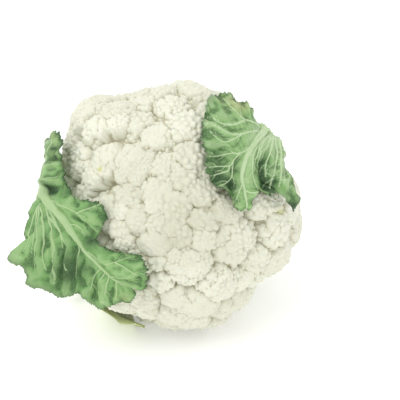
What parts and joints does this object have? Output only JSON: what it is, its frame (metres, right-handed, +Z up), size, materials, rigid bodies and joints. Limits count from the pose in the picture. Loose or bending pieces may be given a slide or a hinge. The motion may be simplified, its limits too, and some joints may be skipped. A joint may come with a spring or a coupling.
{
  "type": "cauliflower",
  "caption": "Head of cauliflower lying on its side, face forward, with a short cut stem, trimmed leaf stalks and green leaves folded over its edge.",
  "frame": {"origin": "on the table, under the middle of the head's bounding box as it lies", "axes": "+Z up; -Y is the way the white face looks, and it also looks up 25 degrees; +X is to the right of someone who looks at the face"},
  "size_m": [0.1945, 0.1783, 0.1758],
  "materials": {
    "curd": "matte creamy white vegetable flesh, slightly translucent",
    "stem": "pale green-white, cut across, slightly moist",
    "leaf": "waxy green leaf with pale raised veins",
    "pale_leaf": "thin yellow-green leaf, soft and slightly wilted",
    "stalk": "pale green, ribbed, juicy leaf stalk"
  },
  "bodies": {
    "root": {"curd": "curd", "stem": "stem", "leaf_left": "leaf", "leaf_right": "leaf", "leaf_under": "pale_leaf", "stalk_1": "stalk", "stalk_2": "stalk", "stalk_3": "stalk", "stalk_4": "stalk", "stalk_5": "stalk", "stalk_6": "stalk", "stalk_7": "stalk", "stalk_8": "stalk"}
  },
  "joints": []
}
